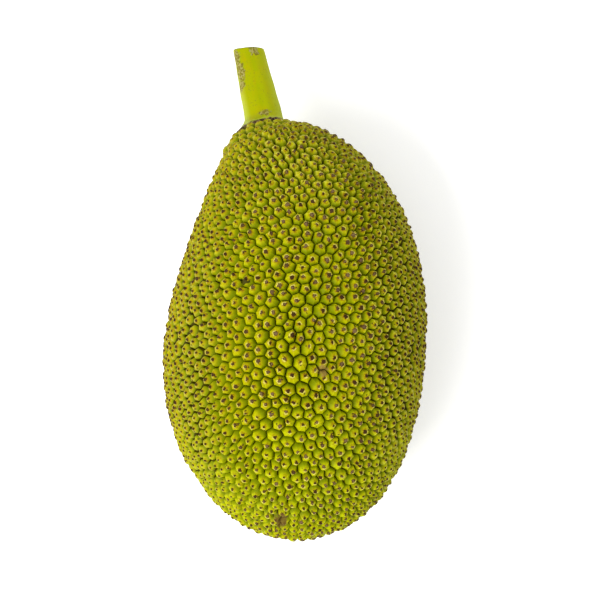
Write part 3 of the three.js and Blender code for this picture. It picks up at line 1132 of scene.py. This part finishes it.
def add_scars(finish, at, body):
    """The scar of each tubercle with its smudge, rim and specks. Also returns the scar's mask."""
    ragged = (3.0 - 1.4 * at.side) * (finish.speckle(SCAR_GRAIN, at.where, 3) - 0.5)
    crown_only = finish.step(at.height, *SCAR_HEIGHTS)
    flat = finish.node("ShaderNodeCombineXYZ", {}, {0: at.downhill, 1: at.across})

    def spot(turn, distance, radius):
        """How far outside a ragged spot on the crown the surface lies, in millimetres."""
        centre = finish.node("ShaderNodeCombineXYZ", {}, {
            0: finish.math("COSINE", turn) * distance, 1: finish.math("SINE", turn) * distance})
        return finish.vector_math("DISTANCE", flat, centre, output="Value") + ragged - radius

    small = finish.math("MAXIMUM", at.side, at.lit_side)
    widest = 1.3 - 0.4 * at.unripe - 0.4 * at.by_stalk - 0.4 * small - 0.1 * at.side
    turn = math.pi + 1.5 * (at.hue - 0.5)
    outside = spot(turn, SCAR_DRIFT, LEAST_SCAR + widest * at.scarred)
    smudge = finish.step(outside + ragged, *SMUDGE_EDGE) * (1 - 0.5 * at.unripe)
    body = finish.mix(smudge * (0.9 - 0.25 * at.side - 0.1 * at.by_stalk), body, GOLD)
    # the pale rim beside the scar: wear and painted highlight
    rim = finish.step(outside - 0.3 * at.side, *RIM_EDGE) * finish.step(at.downhill, *RIM_SIDE)
    body = finish.mix(rim * crown_only * 0.85, body, at.wear_and_highlight)
    large, other = (radius * at.scarred for radius in SPECK_RADII)
    speck = finish.step(spot(math.tau * at.tone, 1.5 + 1.1 * at.hue, large), *SPECK_EDGE)
    second = finish.step(spot(math.tau * at.hue + 2.0, 2.0 + at.tone, other), *SPECK_EDGE)
    specks = speck * finish.step(at.hue, 0.45, 0.5) + second * finish.step(at.tone, 0.6, 0.65)
    body = finish.mix(finish.math("MINIMUM", specks, 1.0) * crown_only * 0.8, body, SCAR)
    scar = finish.step(outside, *SCAR_EDGE) * crown_only
    body = finish.mix(scar, body, SCAR)
    middle = finish.step(outside + 0.5 * ragged, *MIDDLE_EDGE) * finish.step(at.tone, 0.2, 0.6)
    return finish.mix(middle * scar * (0.85 - 0.7 * small), body, SCAR_MIDDLE), scar


rind_body, scar_mask = add_scars(rind_finish, at, rind_body)
print(len(rind_finish.tree.nodes), "nodes with the scars")

# %% [markdown]
# Three blemishes have places of their own: the stain at the blossom end, a hole and a corky patch.
# Each is an ellipsoid with a torn edge, and the skin inside it takes its colour.

# %% Blemishes
BLEMISHES = (  # middle and half size in metres, colour
    ((-0.0104, -0.1347, 0.150), (0.0055, 0.0080, 0.040), colour(84, 62, 28)),
    ((-0.0369, 0.0432, 0.170), (0.0042, 0.0028, 0.020), colour(26, 20, 6)),
    ((0.0199, -0.0219, 0.189), (0.0050, 0.0055, 0.020), colour(118, 94, 46)),
)


def add_blemishes(finish, at, body):
    """The blemishes that have places of their own."""
    for centre, size, tint in BLEMISHES:
        reach = finish.reach(at.where, centre, size)
        torn = 1.8 * (finish.speckle(FLECK_SIZE, at.where, 3) - 0.5)
        body = finish.mix(finish.step(reach + torn, 1.0, 0.6) * 0.9, body, tint)
    return body


rind_body = add_blemishes(rind_finish, at, rind_body)
print(len(BLEMISHES), "blemishes")

# %% [markdown]
# The skin is waxy, the scars and the valleys are rough, and a fine bump breaks up the shine.

# %% Paint the rind
ROUGH_HEIGHTS = (0.4, 0.0)
RELIEF_GRAIN = 0.0016
rind_rough = 0.42 + 0.3 * scar_mask + 0.15 * rind_finish.step(at.height, *ROUGH_HEIGHTS)
rind_relief = rind_finish.speckle(RELIEF_GRAIN, at.where, 4, 0.6) * 0.5 + scar_mask * 0.4
rind_finish.surface_look(rind_body, rind_rough, rind_relief, strength=0.45, depth=0.001)
rind.data.materials.append(rind_finish.material)
print("rind painted with", len(rind_finish.tree.nodes), "nodes")

# %% [markdown]
# ## The stalk's finish
# The stalk has a smooth yellow-green skin with faint lengthwise streaks, gold patches and fine
# freckles. It is painted paler at its edges, as painted sheen, and lighter down its shaded side, as
# painted light. The `grain` attribute holds each point's place in the stalk's own frame, so
# streaks run along it.

# %% The stalk's skin
SKIN = colour(138, 141, 0)
SKIN_GREEN = colour(131, 141, 0)
SKIN_GOLD = colour(146, 138, 0)
# used for the painted sheen at the stalk's edges, and for the collar's pale lip
SKIN_PALE = colour(156, 168, 58)
# painted light: the lighter skin on the stalk's shaded side
SKIN_PAINTED_LIGHT = colour(166, 172, 4)
SCAB = colour(90, 74, 36)
PAINTED_SHEEN_EDGES = (0.0085, 0.0135)  # where a mask starts and where it is full, in metres
SHADY_SIDE = (-0.001, 0.006)
STREAK_WIDTH = 0.005
STREAK_STRETCH = 10
GOLD_PATCH = 0.009
FRECKLE_SIZE = 0.0016


def stalk_skin(finish, grain, streaks):
    """The green skin with its streaks, gold patches, paler edges and freckles."""
    across = finish.part(grain, 0)
    skin = finish.mix(finish.step(streaks, 0.4, 0.65), SKIN, SKIN_GREEN)
    gold = finish.step(finish.speckle(GOLD_PATCH, grain, 3), 0.45, 0.65)
    skin = finish.mix(gold * 0.7, skin, SKIN_GOLD)
    # painted sheen: the stalk is paler towards its edges
    edge = finish.step(finish.math("ABSOLUTE", across), *PAINTED_SHEEN_EDGES)
    skin = finish.mix(edge * 0.6, skin, SKIN_PALE)
    # painted light: the skin is lighter down the shaded side
    skin = finish.mix(finish.step(across, *SHADY_SIDE) * 0.5, skin, SKIN_PAINTED_LIGHT)
    freckles = finish.step(finish.speckle(FRECKLE_SIZE, grain, 2), 0.6, 0.7)
    return finish.mix(freckles * 0.3, skin, SCAB)


stalk_finish = Finish("stem")
grain = stalk_finish.attribute("grain")
stretched = stalk_finish.node("ShaderNodeMapping", {}, {
    "Vector": grain, "Scale": (1, 1, 1 / STREAK_STRETCH)})
streaks = stalk_finish.speckle(STREAK_WIDTH, stretched, 3)
stalk_body = stalk_skin(stalk_finish, grain, streaks)
print(len(stalk_finish.tree.nodes), "nodes with the skin")

# %% [markdown]
# A few rough grey-brown scabs have places of their own, by the cut end and above the collar.

# %% Scabs
SCAB_PALE = colour(146, 136, 86)
SCABS = (  # middle and half size, in metres in the stalk's frame
    ((-0.0105, -0.0070, 0.0640), (0.0040, 0.0080, 0.0070)),
    ((-0.0095, -0.0080, 0.0520), (0.0036, 0.0080, 0.0090)),
    ((-0.0110, -0.0070, 0.0400), (0.0024, 0.0080, 0.0060)),
    ((0.0045, -0.0115, 0.0655), (0.0044, 0.0040, 0.0048)),
    ((0.0020, -0.0150, 0.0118), (0.0052, 0.0060, 0.0028)),
)
SCAB_GRAIN = 0.003


def add_scabs(finish, grain, mottle, skin):
    """The rough scabs. Also returns their mask."""
    scabby = 0.0
    for centre, size in SCABS:
        reach = finish.reach(grain, centre, size)
        scabby = finish.step(reach + 3.0 * (mottle - 0.5), 1.0, 0.7) + scabby
    scabby = finish.math("MINIMUM", scabby, 1.0)
    flaky = finish.step(finish.speckle(FRECKLE_SIZE, grain, 3), 0.42, 0.62)
    return finish.mix(scabby * 0.75, skin, finish.mix(flaky, SCAB, SCAB_PALE)), scabby


mottle = stalk_finish.speckle(SCAB_GRAIN, grain, 4, 0.7)
stalk_body, scab_mask = add_scabs(stalk_finish, grain, mottle, stalk_body)
print(len(SCABS), "scabs")

# %% [markdown]
# Where the collar meets the rind there is a pale lip and then a dark crusty seam, whose dark is
# also painted shadow, and under the lip the stalk is painted dark, as painted shade. The cut end is
# pale and dry, with a brown pith in its middle and green bark round it.

# %% Collar and cut end
# the seam is dark crust and painted shadow where the collar meets the tubercles
SEAM_CRUST_AND_SHADOW = colour(46, 32, 22)
SEAM_PALE = colour(112, 92, 60)
CUT = colour(150, 142, 90)
CUT_PALE = colour(176, 168, 118)
PITH = colour(134, 116, 74)
BARK = colour(116, 122, 36)
PALE_LIP = (0.6, 0.72)  # lip shares
SEAM_LIP = (0.8, 0.87)
HIDDEN_LIP = (1.15, 1.25)
CUT_DEPTHS = (0.0012, 0.0007)  # below the cut end
PITH_REACH = (0.0045, 0.0028)  # distances from the axis
BARK_REACH = (0.0092, 0.0102)
CRUST_GRAIN = 0.002
WOOD_GRAIN = 0.001


def add_collar(finish, grain, ragged, skin):
    """The pale lip, the crusty seam, dark also as painted shadow, and painted shade under it. Also
    returns the seam's mask.
    """
    lip = finish.attribute("lip", "Fac")
    skin = finish.mix(finish.step(lip + 0.4 * ragged, *PALE_LIP) * 0.5, skin, SKIN_PALE)
    seam = finish.step(lip + 0.5 * ragged, *SEAM_LIP)
    crusty = finish.step(finish.speckle(CRUST_GRAIN, grain, 3), 0.4, 0.6)
    # the seam: dark crust and painted shadow
    skin = finish.mix(seam, skin, finish.mix(crusty, SEAM_CRUST_AND_SHADOW, SEAM_PALE))
    # painted shade under the lip
    return finish.mix(finish.step(lip + 0.3 * ragged, *HIDDEN_LIP), skin, VALLEY_SHADE), seam


def add_cut_end(finish, grain, ragged, skin):
    """The dry wood of the cut end, with the pith in its middle and the bark round it."""
    x, y, height = (finish.part(grain, axis) for axis in range(3))
    level = height - CUT_SLANT[0] * x - CUT_SLANT[1] * y
    cut = finish.step(level, *(STALK_LENGTH - depth for depth in CUT_DEPTHS))
    from_axis = finish.math("SQRT", x * x + y * y) + 0.002 * ragged
    dry = finish.step(finish.speckle(WOOD_GRAIN, grain, 3), 0.4, 0.6)
    wood = finish.mix(dry, CUT, CUT_PALE)
    wood = finish.mix(finish.step(from_axis, *PITH_REACH), wood, PITH)
    wood = finish.mix(finish.step(from_axis, *BARK_REACH), wood, BARK)
    return finish.mix(cut, skin, wood)


ragged = stalk_finish.speckle(SCAB_GRAIN, grain, 3) - 0.5
stalk_body, seam_mask = add_collar(stalk_finish, grain, ragged, stalk_body)
stalk_body = add_cut_end(stalk_finish, grain, ragged, stalk_body)
print(len(stalk_finish.tree.nodes), "nodes with collar and cut end")

# %% [markdown]
# The bump follows the streaks, the scabs and the crust of the seam.

# %% Paint the stalk
crust = stalk_finish.speckle(WOOD_GRAIN, grain, 3)
stalk_relief = streaks * 0.3 + scab_mask * mottle + seam_mask * crust
stalk_rough = 0.42 + 0.35 * scab_mask
stalk_finish.surface_look(stalk_body, stalk_rough, stalk_relief, strength=0.5, depth=0.0006)
stalk.data.materials.append(stalk_finish.material)
print("stalk painted with", len(stalk_finish.tree.nodes), "nodes")

# %% [markdown]
# ## Put each piece in place of its solid
# Each finished piece stands for one solid, which is hidden, and both ride on the one body.

# %% Ride and replace
for piece, node, slot in ((rind, "fruit", "rind"), (stalk, "stalk", "stalk")):
    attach(piece, "root")
    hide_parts(node)
    print(piece.name, "stands for", node)

# %% [markdown]
# ## Floor and light
# The floor is plain and pale, and glows faintly so that the shadow on it stays light.

# %% Make the floor
FLOOR_SIZE = 12
FLOOR_GREY = 0.86
FLOOR_ROUGHNESS = 0.9
FLOOR_GLOW = 0.25
WHITE = (1, 1, 1, 1)


def add_floor():
    """The floor as an object of the stage."""
    mesh = bmesh.new()
    bmesh.ops.create_grid(mesh, x_segments=1, y_segments=1, size=FLOOR_SIZE / 2)
    floor = finish_mesh(mesh, "floor")
    finish = Finish("floor")
    inputs = finish.surface.inputs
    inputs["Base Color"].default_value = (FLOOR_GREY, FLOOR_GREY, FLOOR_GREY, 1)
    inputs["Roughness"].default_value = FLOOR_ROUGHNESS
    inputs["Emission Color"].default_value = WHITE
    inputs["Emission Strength"].default_value = FLOOR_GLOW
    floor.data.materials.append(finish.material)
    return floor


floor = add_floor()

# %% [markdown]
# The main light is a wide soft panel high on the left, a little towards the blossom end. A small
# lamp would cut hard shadows between the tubercles. The white surroundings fill the shade.

# %% Add the light
SURROUNDINGS = 1.0
KEY_AZIMUTH = math.radians(212)
KEY_ELEVATION = math.radians(54)
KEY_DISTANCE = 2.0
KEY_SIZE = 1.2
KEY_WATTS = 51


def add_surroundings():
    """White surroundings that light the scene evenly."""
    world = bpy.data.worlds.new("surroundings")
    world.use_nodes = True
    background = world.node_tree.nodes["Background"]
    background.inputs["Color"].default_value = WHITE
    background.inputs["Strength"].default_value = SURROUNDINGS
    bpy.context.scene.world = world


def add_key_light():
    """A square soft light that faces the fruit."""
    data = bpy.data.lights.new("key", "AREA")
    data.size = KEY_SIZE
    data.energy = KEY_WATTS
    panel = bpy.data.objects.new("key", data)
    back = Vector((
        math.cos(KEY_AZIMUTH) * math.cos(KEY_ELEVATION),
        math.sin(KEY_AZIMUTH) * math.cos(KEY_ELEVATION),
        math.sin(KEY_ELEVATION),
    ))
    panel.location = middle + KEY_DISTANCE * back
    panel.rotation_euler = back.to_track_quat("Z", "Y").to_euler()
    bpy.context.scene.collection.objects.link(panel)
    print("key light at", panel.location)


add_surroundings()
add_key_light()
bpy.context.scene.view_settings.view_transform = "Standard"
